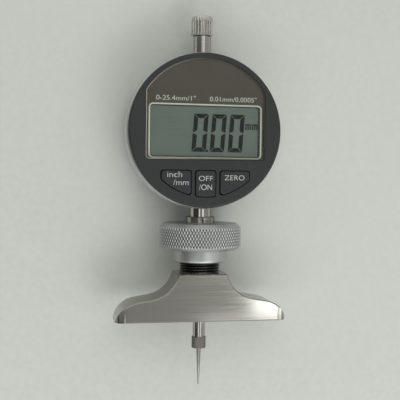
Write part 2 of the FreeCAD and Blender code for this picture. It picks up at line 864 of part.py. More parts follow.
def countersunk(x, y, grow):
    # A countersunk screw, or with grow the room for it
    head = screw_head_radius + grow
    shank = screw_radius + grow
    return turned_about_dial([(0, cover_rear),
                              (head, cover_rear),
                              (shank, cover_rear + cover_head_depth),
                              (shank, cover_rear + cover_screw_length),
                              (0, cover_rear + cover_screw_length)], x, y)


def make_back_cover():
    plate = turned_about_dial([(0, cover_rear),
                               (case_rear_radius - cover_chamfer, cover_rear),
                               (case_rear_radius, cover_rear + cover_chamfer),
                               (case_rear_radius, inner_rear),
                               (0, inner_rear)])
    for x, y in screw_places():
        plate = plate.cut(countersunk(x, y, fixed_gap))
    flange_room = disc(cap_radius + cap_gap, cover_rear, cover_rear + cap_flange,
                       0, battery_height)
    plug_room = disc(cap_plug_radius + cap_gap, cover_rear, inner_rear, 0, battery_height)
    return plate.cut(flange_room).cut(plug_room)


def make_cover_screws():
    screws = []
    for x, y in screw_places():
        slot = block(x - screw_head_radius, x + screw_head_radius,
                     y - screw_slot_width / 2, y + screw_slot_width / 2,
                     cover_rear, cover_rear + screw_slot_depth)
        screws.append(countersunk(x, y, 0).cut(slot))
    return Part.makeCompound(screws)


def make_cover_gasket():
    outer = disc(case_rear_radius - gasket_inset, inner_rear, case_rear)
    return outer.cut(disc(gasket_inner_radius, inner_rear, case_rear))


def make_battery_holder():
    cup = disc(holder_radius, inner_rear, floor_front, 0, battery_height)
    cup = cup.cut(disc(holder_bore_radius, inner_rear, floor_rear, 0, battery_height))
    half = contact_width / 2 + contact_slot_gap
    minus_slot = block(0, holder_radius + 1, battery_height - half, battery_height + half,
                       battery_front - contact_slot_gap, floor_rear)
    plus_slot = block(-holder_radius - 1, 0, battery_height - half, battery_height + half,
                      plus_contact_front - contact_thickness - contact_slot_gap,
                      plus_contact_front + contact_slot_gap)
    return cup.cut(minus_slot).cut(plus_slot)


def make_battery_cell():
    return disc(battery_radius, battery_rear, battery_front, 0, battery_height)


def make_battery_contact_minus():
    # A leaf under the cell, with a leg up to the board
    half = contact_width / 2
    leaf = block(0, contact_reach, battery_height - half, battery_height + half,
                 battery_front, floor_rear)
    leg = block(contact_reach - contact_thickness, contact_reach,
                battery_height - half, battery_height + half, battery_front, board_rear)
    return joined([leaf, leg])


def make_battery_contact_plus():
    # A leaf beside the cell's rim, with a tab and a leg up to the board
    half = contact_width / 2
    ring = disc(holder_bore_radius - fixed_gap, battery_rear, plus_contact_front,
                0, battery_height)
    ring = ring.cut(disc(battery_radius + fixed_gap, battery_rear, plus_contact_front,
                         0, battery_height))
    reach = holder_bore_radius * math.tan(math.radians(plus_contact_angle / 2))
    ring = ring.common(block(-holder_bore_radius, 0, battery_height - reach,
                             battery_height + reach, battery_rear, plus_contact_front))
    tab = block(-contact_reach, -battery_radius - fixed_gap - contact_thickness,
                battery_height - half, battery_height + half,
                plus_contact_front - contact_thickness, plus_contact_front)
    leg = block(-contact_reach, -contact_reach + contact_thickness,
                battery_height - half, battery_height + half,
                plus_contact_front - contact_thickness, board_rear)
    return joined([ring, tab, leg])


def seal_groove():
    # Rear and front side of the sealing ring's groove, which starts at the flange
    rear = cover_rear + cap_flange
    return rear, rear + 2 * (seal_section_radius + seal_groove_clearance)


def make_battery_cap():
    # The plug fills the cover, and a nose on it holds the cell in its cup
    flange = disc(cap_radius, cover_rear, cover_rear + cap_flange, 0, battery_height)
    plug = disc(cap_plug_radius, cover_rear, inner_rear, 0, battery_height)
    nose = disc(battery_radius, cover_rear, battery_rear - running_gap, 0, battery_height)
    cap = joined([flange, plug, nose])
    slot = block(-cap_coin_slot_length / 2, cap_coin_slot_length / 2,
                 battery_height - cap_coin_slot_width / 2,
                 battery_height + cap_coin_slot_width / 2,
                 cover_rear, cover_rear + cap_coin_slot_depth)
    rear, front = seal_groove()
    floor = cap_plug_radius - 2 * seal_section_radius
    groove = disc(cap_radius, rear, front, 0, battery_height)
    groove = groove.cut(disc(floor, rear, front, 0, battery_height))
    return cap.cut(slot).cut(groove)


def make_battery_cap_seal():
    rear, front = seal_groove()
    ring = cap_plug_radius - seal_section_radius + fixed_gap
    return Part.makeTorus(ring, seal_section_radius,
                          Vector(0, battery_height, (rear + front) / 2), Vector(0, 0, 1))


pieces = {
    "base": make_base(),
    "threaded_post": make_threaded_post(),
    "split_collet": make_split_collet(),
    "clamp_ring": make_clamp_ring(),
    "clamp_nut": make_clamp_nut(),
    "stem": make_stem(),
    "lower_bush": make_lower_bush(),
    "upper_bush": make_upper_bush(),
    "spindle": make_spindle(),
    "contact_point": make_contact_point(),
    "lift_knob": make_lift_knob(),
    "scale_carriage": make_carriage(),
    "carriage_screw": make_carriage_screw(),
    "scale_strip": make_scale_strip(),
    "guide_rod": make_guide_rod(),
    "return_spring": make_return_spring(),
    "case_body": make_case_body(),
    "stem_set_screw": make_stem_set_screw(),
    "front_bezel": make_front_bezel(),
    "window_panel": make_window_panel(),
    "window_mask": make_window_mask(),
    "lcd_panel": make_lcd_panel(),
    "lcd_holder": make_lcd_holder(),
    "zebra_strips": make_zebra_strips(),
    "main_board": make_main_board(),
    "controller_chip": make_controller_chip(),
    "key_domes": make_key_domes(),
    "board_screws": make_board_screws(),
    "back_cover": make_back_cover(),
    "cover_screws": make_cover_screws(),
    "cover_gasket": make_cover_gasket(),
    "battery_holder": make_battery_holder(),
    "battery_cell": make_battery_cell(),
    "battery_contact_minus": make_battery_contact_minus(),
    "battery_contact_plus": make_battery_contact_plus(),
    "battery_cap": make_battery_cap(),
    "battery_cap_seal": make_battery_cap_seal(),
}
for name, x0, x1, dome_x, dome_y in key_places():
    pieces[name] = make_button(x0, x1, dome_x, dome_y)

os.makedirs("parts", exist_ok=True)
for name, shape in pieces.items():
    shape.exportStep("parts/" + name + ".step")
    print(f"{name:24s} solids {len(shape.Solids)}  valid {shape.isValid()}  "
          f"volume {shape.Volume:10.3f} mm3")
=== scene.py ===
import math
import bmesh
import bpy
from mathutils import Matrix, Vector


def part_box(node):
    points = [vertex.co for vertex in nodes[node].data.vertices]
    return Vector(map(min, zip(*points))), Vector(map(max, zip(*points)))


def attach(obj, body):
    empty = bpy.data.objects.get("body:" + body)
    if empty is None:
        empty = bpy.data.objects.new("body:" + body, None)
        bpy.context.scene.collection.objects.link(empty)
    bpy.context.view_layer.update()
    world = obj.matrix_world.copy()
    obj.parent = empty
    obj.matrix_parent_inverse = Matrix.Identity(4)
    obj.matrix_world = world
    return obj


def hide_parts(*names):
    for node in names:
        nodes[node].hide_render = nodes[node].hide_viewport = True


# Digital depth gauge lying on its back: X across, Y up the spindle, Z out of the display.
# Sizes in the dictionaries are millimetres unless their names say otherwise.

mm = 0.001
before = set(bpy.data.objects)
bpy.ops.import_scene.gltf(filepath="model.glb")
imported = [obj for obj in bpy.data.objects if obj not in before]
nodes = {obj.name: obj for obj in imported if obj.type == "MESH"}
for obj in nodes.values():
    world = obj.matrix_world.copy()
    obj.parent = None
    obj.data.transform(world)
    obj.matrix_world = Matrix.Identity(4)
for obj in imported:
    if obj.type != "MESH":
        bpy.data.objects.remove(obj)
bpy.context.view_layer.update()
bezelLow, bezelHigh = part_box("front_bezel")
dialHeight = (bezelLow.y + bezelHigh.y) / 2 / mm  # the dial's centre over the measuring face
print("frame:", len(nodes), "nodes")


def colour(code):
    # "#RRGGBB" as the linear colour that a socket takes
    channels = [int(code[start:start + 2], 16) / 255 for start in (1, 3, 5)]
    linear = [c / 12.92 if c <= 0.04045 else ((c + 0.055) / 1.055) ** 2.4 for c in channels]
    return (*linear, 1.0)


def addNode(tree, kind, links=None, **settings):
    # links gives each input, by name or number, a value or another node's output
    node = tree.nodes.new(kind)
    for key, value in settings.items():
        setattr(node, key, value)
    for key, value in (links or {}).items():
        if isinstance(value, bpy.types.NodeSocket):
            tree.links.new(value, node.inputs[key])
        else:
            node.inputs[key].default_value = value
    return node


def addMath(tree, operation, first, second=0.0):
    # the result of one sum in a node tree
    node = addNode(tree, "ShaderNodeMath", {0: first, 1: second}, operation=operation)
    return node.outputs[0]


def startMaterial(name, values):
    material = bpy.data.materials.new(name)
    material.use_nodes = True
    tree = material.node_tree
    tree.nodes.clear()
    shader = addNode(tree, "ShaderNodeBsdfPrincipled", values)
    addNode(tree, "ShaderNodeOutputMaterial", {"Surface": shader.outputs[0]})
    return material, tree, shader


def grainPattern(tree, size, detail=3.0):
    # soft noise whose grain has this size along X, Y and Z, from 0 to 1
    place = addNode(tree, "ShaderNodeTexCoord")
    scaled = addNode(tree, "ShaderNodeMapping", {"Vector": place.outputs["Object"],
                                                 "Scale": [1 / (side * mm) for side in size]})
    noise = addNode(tree, "ShaderNodeTexNoise", {"Vector": scaled.outputs[0], "Scale": 1.0,
                                                 "Detail": detail, "Roughness": 0.6})
    spread = addNode(tree, "ShaderNodeMapRange", {"Value": noise.outputs[0],
                                                  "From Min": 0.3, "From Max": 0.7})
    return spread.outputs[0]


def finishSurface(tree, shader, look):
    # colour, roughness and relief that follow one grain, over a broader uneven tone;
    # a groove colour paints shade into what the rolled pattern has cut. Grain and cloud are sizes
    # in
    # millimetres: the real ones, or coarser where a material says that it is drawn so.
    grain = grainPattern(tree, look["grain"])
    cloud = grainPattern(tree, look.get("cloud", (9, 9, 9)), detail=1.0)
    tone = addNode(tree, "ShaderNodeMix", {0: cloud, 6: colour(look["tone"]),
                                           7: colour(look["shade"])}, data_type="RGBA")
    fleck = addNode(tree, "ShaderNodeMix", {0: grain, 6: tone.outputs[2],
                                            7: colour(look["fleck"])}, data_type="RGBA")
    # painted shade in the grooves: the groove colour darkens each point by how deep it was cut
    if "groove" in look:
        cut = addNode(tree, "ShaderNodeAttribute", attribute_name="groove")
        fleck = addNode(tree, "ShaderNodeMix", {0: cut.outputs["Fac"], 6: fleck.outputs[2],
                                                7: colour(look["groove"])}, data_type="RGBA")
    low, high = look["roughness"]
    rough = addNode(tree, "ShaderNodeMapRange", {"Value": grain, "To Min": low, "To Max": high})
    relief = addNode(tree, "ShaderNodeBump", {"Height": grain, "Distance": look["relief"] * mm,
                                              "Strength": 0.5})
    tree.links.new(fleck.outputs[2], shader.inputs["Base Color"])
    tree.links.new(rough.outputs[0], shader.inputs["Roughness"])
    tree.links.new(relief.outputs[0], shader.inputs["Normal"])


def bareMetal(name, edge="#FFFFFF", **look):
    # the edge colour is what the metal mirrors at a grazing view
    material, tree, shader = startMaterial(name, {"Metallic": 1.0,
                                                  "Specular Tint": colour(edge)})
    finishSurface(tree, shader, look)
    return material


def tintWithin(material, across, limit, tint):
    # multiplies the colour by the tint where the point lies within limit of the middle,
    # measured along the axes that across keeps
    tree = material.node_tree
    shader = next(node for node in tree.nodes if node.type == "BSDF_PRINCIPLED")
    place = addNode(tree, "ShaderNodeTexCoord")
    kept = addNode(tree, "ShaderNodeVectorMath", {0: place.outputs["Object"], 1: across},
                   operation="MULTIPLY")
    distance = addNode(tree, "ShaderNodeVectorMath", {0: kept.outputs[0]}, operation="LENGTH")
    inside = addMath(tree, "LESS_THAN", distance.outputs["Value"], limit * mm)
    before = shader.inputs["Base Color"].links[0].from_socket
    mixed = addNode(tree, "ShaderNodeMix", {0: inside, 6: before, 7: colour(tint)},
                    data_type="RGBA", blend_type="MULTIPLY")
    tree.links.new(mixed.outputs[2], shader.inputs["Base Color"])
    return material


def mouldedPlastic(name, ior=1.5, **look):
    material, tree, shader = startMaterial(name, {"IOR": ior})
    finishSurface(tree, shader, look)
    return material


def groundSteel():
    # surface-ground hardened steel: a satin grey with fine straight scratches along X,
    # drawn 0.3 mm apart because the real ones are too fine to show
    material = bareMetal("groundSteel", tone="#C9C8C1", shade="#C4C3BC", fleck="#CECDC6",
                         grain=(26, 0.3, 0.3), cloud=(30, 8, 8), roughness=(0.09, 0.13),
                         relief=0.0015)
    # painted shade: the milled flanks between the two ground faces, which lie 8 mm off the
    # middle, are darkened to stand in for the shaded floor that they mirror
    groundFaces = 7.95
    return tintWithin(material, (0, 0, 1), groundFaces, "#BFBFBC")


def blackOxideSteel():
    # chemically blacked steel with a film of oil: almost black, with sharp small glints and
    # painted shade in the thread's grooves
    return bareMetal("blackOxideSteel", tone="#4C4C4B", shade="#3A3A39", fleck="#5A5958",
                     groove="#0E0E0E", grain=(0.5, 0.5, 0.5), roughness=(0.2, 0.36),
                     relief=0.01)


def turnedSteel():
    # lathe-turned steel: bright rings round the spindle axis, drawn 0.35 mm apart
    return bareMetal("turnedSteel", edge="#959595", tone="#B3B1AB", shade="#A8A6A0",
                     fleck="#BFBDB7", grain=(12, 0.35, 12), roughness=(0.22, 0.36),
                     relief=0.006)


def polishedSteel():
    # centreless-ground and polished steel: mirrors the room with a slight blur, its
    # grinding marks drawn 0.3 mm apart
    return bareMetal("polishedSteel", edge="#959595", tone="#C2C0BB", shade="#B9B7B2",
                     fleck="#C9C7C2", grain=(6, 0.3, 6), roughness=(0.06, 0.1), relief=0.001)


def anodisedAluminium():
    # bead-blasted and clear anodised aluminium: matt and even, its sparkle drawn 0.3 mm wide
    return bareMetal("anodisedAluminium", tone="#B4B6B4", shade="#AAACAA", fleck="#BEC0BE",
                     grain=(0.3, 0.3, 0.3), roughness=(0.38, 0.52), relief=0.012)


def knurledAluminium():
    # the same anodising on the knurled nut, with painted shade in the grooves
    material = bareMetal("knurledAluminium", tone="#D2D4D2", shade="#C8CAC8", fleck="#DCDEDC",
                         groove="#6A6D6A", grain=(0.3, 0.3, 0.3), roughness=(0.36, 0.48),
                         relief=0.01)
    # painted shade: the turned sleeve and chamfers, and the bottoms of the grooves, lie inside
    # the rim's 15.5 mm and are darkened a shade where the lamps light them too brightly
    rimPoints = 15.3
    return tintWithin(material, (1, 0, 1), rimPoints, "#DADADA")


def knurledSteel():
    # hardened measuring point: dark at a grazing view, with painted shade in the grooves of its
    # knurl
    return bareMetal("knurledSteel", edge="#303030", tone="#A3A19B", shade="#94928C",
                     fleck="#AEACA6", groove="#3E3B38", grain=(0.4, 0.4, 0.4),
                     roughness=(0.16, 0.24), relief=0.002)


def flutedSteel():
    # fluted lift knob in bright turned steel: smooth, with sharp flashes on the ribs
    return bareMetal("flutedSteel", tone="#C6C6C0", shade="#BBBBB5", fleck="#CFCFC9",
                     grain=(4, 6, 4), roughness=(0.15, 0.17), relief=0.0)


def hardenedSteel():
    # spring collet as it comes from hardening: a darker grey, its turned rings drawn 0.3 mm
    # apart
    return bareMetal("hardenedSteel", edge="#959595", tone="#A3A29B", shade="#95948D",
                     fleck="#ADABA5", grain=(10, 0.3, 10), roughness=(0.2, 0.32),
                     relief=0.004)


def machinedAluminium():
    # turned aluminium: soft bright rings, drawn 0.3 mm apart
    return bareMetal("machinedAluminium", tone="#BDBDBA", shade="#B3B3B0", fleck="#C8C8C5",
                     grain=(10, 0.3, 10), roughness=(0.24, 0.36), relief=0.006)


def brass():
    # turned brass, a little dulled, its rings drawn 0.3 mm apart
    return bareMetal("brass", tone="#C7A458", shade="#B8954C", fleck="#D2B26A",
                     grain=(10, 0.3, 10), roughness=(0.25, 0.4), relief=0.006)


def bronze():
    # sintered bronze bush: brown and finely porous
    return bareMetal("bronze", tone="#96724A", shade="#87653F", fleck="#A5815A",
                     grain=(0.2, 0.2, 0.2), roughness=(0.35, 0.55), relief=0.01)


def zincSteel():
    # zinc-plated screws: a pale bluish shine
    return bareMetal("zincSteel", tone="#B9BEC2", shade="#AFB4B8", fleck="#C6CACD",
                     grain=(0.8, 0.8, 0.8), roughness=(0.2, 0.34), relief=0.004)


def springSteel():
    # drawn spring wire and strip: grey and smooth
    return bareMetal("springSteel", tone="#A6A49F", shade="#9B9994", fleck="#B1AFAA",
                     grain=(0.4, 3, 0.4), roughness=(0.2, 0.32), relief=0.003)


def cellSteel():
    # nickel-plated can of a button cell: bright, with a pressed satin face
    return bareMetal("cellSteel", tone="#C8C8C4", shade="#BDBDB9", fleck="#D2D2CE",
                     grain=(0.4, 0.4, 0.4), roughness=(0.16, 0.28), relief=0.003)


def silverPaint():
    # metallic lacquer on the die-cast case: aluminium flake, drawn 0.25 mm wide, under a
    # satin clear coat
    material, tree, shader = startMaterial("silverPaint", {"Metallic": 0.8, "Coat Weight": 0.25,
                                                           "Coat Roughness": 0.25})
    finishSurface(tree, shader, {"tone": "#B9BBBA", "shade": "#ADAFAE", "fleck": "#CBCDCC",
                                 "grain": (0.25, 0.25, 0.25), "roughness": (0.34, 0.48),
                                 "relief": 0.006})
    return material


def darkGreyPlastic():
    # moulded ABS with a fine spark-eroded grain: dark bluish grey and half matt
    return mouldedPlastic("darkGreyPlastic", tone="#1F2322", shade="#1D2120", fleck="#272B2A",
                          grain=(0.5, 0.5, 0.5), roughness=(0.42, 0.58), relief=0.03)


def buttonPlastic():
    # key caps in the same grey, a little smoother and bluer
    return mouldedPlastic("buttonPlastic", tone="#1E2224", shade="#1C2022", fleck="#262A2C",
                          grain=(0.45, 0.45, 0.45), roughness=(0.38, 0.52), relief=0.02)


def backPlastic():
    # black moulded back cover with a coarser grain, worn a little shinier in patches
    return mouldedPlastic("backPlastic", tone="#242628", shade="#1F2123", fleck="#2E3032",
                          grain=(0.6, 0.6, 0.6), roughness=(0.4, 0.62), relief=0.04)


def whitePlastic():
    # natural moulded holder: milky and slightly glossy
    return mouldedPlastic("whitePlastic", tone="#DDDCD5", shade="#D4D3CB", fleck="#E4E3DC",
                          grain=(0.8, 0.8, 0.8), roughness=(0.35, 0.5), relief=0.01)


def blackRubber():
    # nitrile seal: deep black and matt
    return mouldedPlastic("blackRubber", tone="#1A1A1A", shade="#161616", fleck="#202020",
                          grain=(0.3, 0.3, 0.3), roughness=(0.6, 0.8), relief=0.01)


def zebraRubber():
    # conductive strip: grey silicone striped with carbon layers, drawn 0.5 mm apart
    return mouldedPlastic("zebraRubber", tone="#6C6C6A", shade="#646462", fleck="#1E1E1E",
                          grain=(0.5, 6, 6), roughness=(0.5, 0.65), relief=0.01)


def blackResin():
    # drop of epoxy over the chip: glossy black with a few dimples
    return mouldedPlastic("blackResin", tone="#171717", shade="#121212", fleck="#1F1F1F",
                          grain=(1.5, 1.5, 1.5), roughness=(0.16, 0.3), relief=0.05)


def boardLaminate():
    # green solder mask over glass cloth: the weave shows as a fine lattice
    return mouldedPlastic("boardLaminate", tone="#1F5A35", shade="#1A4F2E", fleck="#2C6C43",
                          grain=(0.7, 0.7, 4), roughness=(0.28, 0.42), relief=0.015)


def goldLine():
    # etched scale strip: copper lines under green lacquer, drawn 1 mm apart
    return mouldedPlastic("scaleLaminate", tone="#2A6A3F", shade="#236037", fleck="#B98B4A",
                          grain=(12, 1.0, 12), roughness=(0.3, 0.42), relief=0.01)


def printedFilm():
    # screen-printed film behind the window: a brown-black ink, faintly uneven
    return mouldedPlastic("printedFilm", tone="#3F3A2E", shade="#383227", fleck="#464134",
                          grain=(1.2, 1.2, 1.2), cloud=(16, 16, 16), roughness=(0.3, 0.4),
                          relief=0.002)


def printedInk(name, tone, shade, ior=1.5):
    # opaque screen-printed ink: flat, with a slightly uneven cover
    return mouldedPlastic(name, ior, tone=tone, shade=shade, fleck=tone, grain=(0.4, 0.4, 0.4),
                          cloud=(2, 2, 2), roughness=(0.45, 0.55), relief=0.002)


def lcdGlass():
    # reflective liquid crystal: grey-green polariser over a brushed reflector
    return mouldedPlastic("lcdGlass", tone="#5E6B66", shade="#596661", fleck="#62706A",
                          grain=(14, 0.5, 14), cloud=(18, 12, 12), roughness=(0.3, 0.38),
                          relief=0.001)


def clearAcrylic():
    # cast acrylic window: clear and glossy; lamps reach what lies behind it
    material, tree, shader = startMaterial("clearAcrylic", {
        "Base Color": colour("#F4F5F1"), "Transmission Weight": 1.0, "IOR": 1.49})
    smear = grainPattern(tree, (6, 6, 6))
    rough = addNode(tree, "ShaderNodeMapRange", {"Value": smear, "To Min": 0.02, "To Max": 0.06})
    tree.links.new(rough.outputs[0], shader.inputs["Roughness"])
    clear = addNode(tree, "ShaderNodeBsdfTransparent", {"Color": colour("#F2F4F0")})
    ray = addNode(tree, "ShaderNodeLightPath")
    both = addNode(tree, "ShaderNodeMixShader", {0: ray.outputs["Is Shadow Ray"],
                                                 1: shader.outputs[0], 2: clear.outputs[0]})
    output = next(node for node in tree.nodes if node.type == "OUTPUT_MATERIAL")
    tree.links.new(both.outputs[0], output.inputs["Surface"])
    return material


def paintedLightEdge():
    # edge of the acrylic with painted light: a pale painted reflection at the left that fades
    # to painted shade at the right, with rubbed spots
    material, tree, shader = startMaterial("paintedLightEdge", {"Roughness": 0.35})
    place = addNode(tree, "ShaderNodeTexCoord")
    axes = addNode(tree, "ShaderNodeSeparateXYZ", {0: place.outputs["Object"]})
    grain = grainPattern(tree, (0.8, 0.8, 0.8))
    # painted highlight at the left and painted shade at the right, set by the position along X
    lit = addNode(tree, "ShaderNodeMapRange", {"Value": axes.outputs[0], "From Min": -22 * mm,
                                               "From Max": 2 * mm})
    tone = addNode(tree, "ShaderNodeMix", {0: lit.outputs[0], 6: colour("#B4ABA6"),
                                           7: colour("#26251F")}, data_type="RGBA")
    rubbed = addMath(tree, "MULTIPLY", grain, 0.25)
    worn = addNode(tree, "ShaderNodeMix", {0: rubbed, 6: tone.outputs[2],
                                           7: colour("#6A6560")}, data_type="RGBA")
    tree.links.new(worn.outputs[2], shader.inputs["Base Color"])
    return material


finishes = {
    "satin_steel": groundSteel(), "black_oxide_steel": blackOxideSteel(),
    "turned_steel": turnedSteel(), "polished_steel": polishedSteel(),
    "anodised_aluminium": anodisedAluminium(), "machined_aluminium": machinedAluminium(),
    "brass": brass(), "bronze": bronze(), "zinc_steel": zincSteel(),
    "spring_steel": springSteel(), "cell_steel": cellSteel(), "silver_paint": silverPaint(),
    "dark_grey_plastic": darkGreyPlastic(), "button_plastic": buttonPlastic(),
    "back_plastic": backPlastic(), "white_plastic": whitePlastic(),
    "black_rubber": blackRubber(), "zebra_rubber": zebraRubber(), "black_resin": blackResin(),
    "board_laminate": boardLaminate(), "printed_film": printedFilm(),
    "lcd_glass": lcdGlass(), "clear_acrylic": clearAcrylic(),
}
# pieces whose finish differs from the rest of their slot
ownFinishes = {"scale_strip": goldLine(), "split_collet": hardenedSteel(),
               "lift_knob": flutedSteel()}
print("materials:", len(finishes) + len(ownFinishes))


def dressNodes():
    # every CAD piece takes the finish of its own slot
    for name, node in nodes.items():
        for place in node.material_slots:
            slotName = place.material.name.split(".")[0]
            place.material = ownFinishes.get(name, finishes[slotName])


dressNodes()
print("CAD pieces dressed")


def meshFrom(builder, name, smoothUnder=None):
    # smoothUnder is the angle in degrees under which neighbouring faces are shaded as one
    bmesh.ops.recalc_face_normals(builder, faces=builder.faces)
    mesh = bpy.data.meshes.new(name)
    builder.to_mesh(mesh)
    builder.free()
    if smoothUnder:
        mesh.shade_smooth()
        mesh.set_sharp_from_angle(angle=math.radians(smoothUnder))
    return mesh


def placePiece(name, mesh, body, material=None, instead=()):
    piece = bpy.data.objects.new(name, mesh)
    bpy.context.scene.collection.objects.link(piece)
    if material:
        mesh.materials.clear()
        mesh.materials.append(material)
    if instead:
        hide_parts(*instead)
    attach(piece, body)
    return piece


# Turned pieces with a rolled or cut pattern

def softCorner(before, corner, after, size, steps=4):
    # points of a small rounding in place of a corner of an outline
    towards = [(other[0] - corner[0], other[1] - corner[1]) for other in (before, after)]
    start, end = [(corner[0] + dx * size / math.hypot(dx, dy),
                   corner[1] + dy * size / math.hypot(dx, dy)) for dx, dy in towards]
    points = []
    for step in range(steps + 1):
        t = step / steps
        points.append(tuple((1 - t) ** 2 * start[i] + 2 * t * (1 - t) * corner[i] + t * t * end[i]
                            for i in (0, 1)))
    return points


def softOutline(corners):
    # corners are (radius, height, rounding) all the way round
    points = []
    for index, (radius, height, rounding) in enumerate(corners):
        before, after = corners[index - 1][:2], corners[(index + 1) % len(corners)][:2]
        if rounding:
            points += softCorner(before, (radius, height), after, rounding)
        else:
            points.append((radius, height))
    return points


def withRows(outline, innerRadius, spacing):
    # more points along the straights that carry a pattern, outside innerRadius
    points = []
    for here, after in zip(outline, outline[1:] + outline[:1]):
        points.append(here)
        if min(here[0], after[0]) > innerRadius:
            count = max(1, round(math.dist(here, after) / spacing))
            for step in range(1, count):
                points.append(tuple(here[i] + (after[i] - here[i]) * step / count
                                    for i in (0, 1)))
    return points


def turnedMesh(name, outline, columns, smoothUnder=35):
    # a closed outline of (radius, height) points turned about the spindle axis
    builder = bmesh.new()
    rings = []
    for radius, height in outline:
        if radius < 1e-6:
            rings.append([builder.verts.new((0, height * mm, 0))])
            continue
        ring = []
        for column in range(columns):
            angle = 2 * math.pi * column / columns
            ring.append(builder.verts.new((radius * mm * math.cos(angle), height * mm,
                                           radius * mm * math.sin(angle))))
        rings.append(ring)
    for ring, after in zip(rings, rings[1:] + rings[:1]):
        if len(ring) == 1 and len(after) == 1:
            continue
        for column in range(columns):
            following = (column + 1) % columns
            corners = [ring[column % len(ring)], after[column % len(after)],
                       after[following % len(after)], ring[following % len(ring)]]
            builder.faces.new(dict.fromkeys(corners))
    return meshFrom(builder, name, smoothUnder)


def rolledPattern():
    # grooves cut into a turned surface along helices: one set for a thread, two that cross
    # for a knurl; they fade out at both ends of their band and where the surface falls
    # away under the full radius; the attribute groove tells how deep each point was cut
    tree = bpy.data.node_groups.new("rolledPattern", "GeometryNodeTree")
    tree.interface.new_socket("Geometry", in_out="INPUT", socket_type="NodeSocketGeometry")
    for size in ("Grooves Round", "Rise", "Crossed", "Depth", "Land", "Start", "End", "Fade",
                 "Full Radius"):
        tree.interface.new_socket(size, in_out="INPUT", socket_type="NodeSocketFloat")
    tree.interface.new_socket("Material", in_out="INPUT", socket_type="NodeSocketMaterial")
    tree.interface.new_socket("Geometry", in_out="OUTPUT", socket_type="NodeSocketGeometry")
    given = addNode(tree, "NodeGroupInput").outputs
    place = addNode(tree, "GeometryNodeInputPosition")
    axes = addNode(tree, "ShaderNodeSeparateXYZ", {0: place.outputs[0]}).outputs
    flat = addNode(tree, "ShaderNodeCombineXYZ", {0: axes[0], 2: axes[2]}).outputs[0]
    radius = addNode(tree, "ShaderNodeVectorMath", {0: flat}, operation="LENGTH").outputs["Value"]
    outwards = addNode(tree, "ShaderNodeVectorMath", {0: flat}, operation="NORMALIZE").outputs[0]
    turn = addMath(tree, "DIVIDE", addMath(tree, "ARCTAN2", axes[2], axes[0]), 2 * math.pi)
    around = addMath(tree, "MULTIPLY", turn, given["Grooves Round"])
    along = addMath(tree, "DIVIDE", axes[1], given["Rise"])
    # each wave is nought on its groove's line and a half midway between two grooves
    waves = [addMath(tree, "PINGPONG", addMath(tree, helix, around, along), 0.5)
             for helix in ("ADD", "SUBTRACT")]
    single = addMath(tree, "SUBTRACT", 1.0, given["Crossed"])
    ridge = addMath(tree, "MINIMUM", waves[0], addMath(tree, "ADD", waves[1], single))
    cut = addNode(tree, "ShaderNodeMapRange", {
        "Value": ridge, "From Min": 0.0, "From Max": given["Land"],
        "To Min": 1.0, "To Max": 0.0}).outputs[0]
    for end, inside in (("Start", "ADD"), ("End", "SUBTRACT")):
        fade = addNode(tree, "ShaderNodeMapRange", {
            "Value": axes[1], "From Min": given[end],
            "From Max": addMath(tree, inside, given[end], given["Fade"])})
        cut = addMath(tree, "MULTIPLY", cut, fade.outputs[0])
    cut = addMath(tree, "MULTIPLY", cut, given["Depth"])
    bottom = addMath(tree, "SUBTRACT", given["Full Radius"], cut)
    inwards = addMath(tree, "MINIMUM", addMath(tree, "SUBTRACT", bottom, radius), 0.0)
    share = addMath(tree, "ABSOLUTE", addMath(tree, "DIVIDE", inwards, given["Depth"]))
    shift = addNode(tree, "ShaderNodeVectorMath", {0: outwards, "Scale": inwards},
                    operation="SCALE")
    marked = addNode(tree, "GeometryNodeStoreNamedAttribute", {
        "Geometry": given["Geometry"], "Name": "groove", "Value": share},
        data_type="FLOAT", domain="POINT")
    moved = addNode(tree, "GeometryNodeSetPosition", {"Geometry": marked.outputs[0],
                                                      "Offset": shift.outputs[0]})
    real = addNode(tree, "GeometryNodeRealizeInstances", {0: moved.outputs[0]})
    painted = addNode(tree, "GeometryNodeSetMaterial", {"Geometry": real.outputs[0],
                                                        "Material": given["Material"]})
    addNode(tree, "NodeGroupOutput", {0: painted.outputs[0]})
    return tree


patternTree = rolledPattern()


def patterned(name, blank, sizes, material):
    # runs the pattern on a turned blank and returns the plain mesh
    workpiece = bpy.data.objects.new(name + "Blank", blank)
    bpy.context.scene.collection.objects.link(workpiece)
    modifier = workpiece.modifiers.new("pattern", "NODES")
    modifier.node_group = patternTree
    values = {key: float(value) for key, value in sizes.items()}
    for item in patternTree.interface.items_tree:
        if item.in_out == "INPUT" and item.name in values:
            modifier[item.identifier] = values[item.name]
        elif item.in_out == "INPUT" and item.name == "Material":
            modifier[item.identifier] = material
    depsgraph = bpy.context.evaluated_depsgraph_get()
    mesh = bpy.data.meshes.new_from_object(workpiece.evaluated_get(depsgraph))
    mesh.name = name
    bpy.data.objects.remove(workpiece)
    return mesh


nutSizes = {
    "bore": 7.7, "sleeveRadius": 10.3, "sleeveHeight": 4.8, "sleeveRounding": 1.0,
    "footChamfer": 1.35, "topChamfer": 1.7, "edgeRounding": 0.25, "lipRadius": 5.6, "lip": 0.9,
    "diamondsRound": 84, "diamondHeight": 2.1, "knurlDepth": 0.38, "facesPerDiamond": 8,
    "slopeShare": 0.36, "fade": 0.3,
}


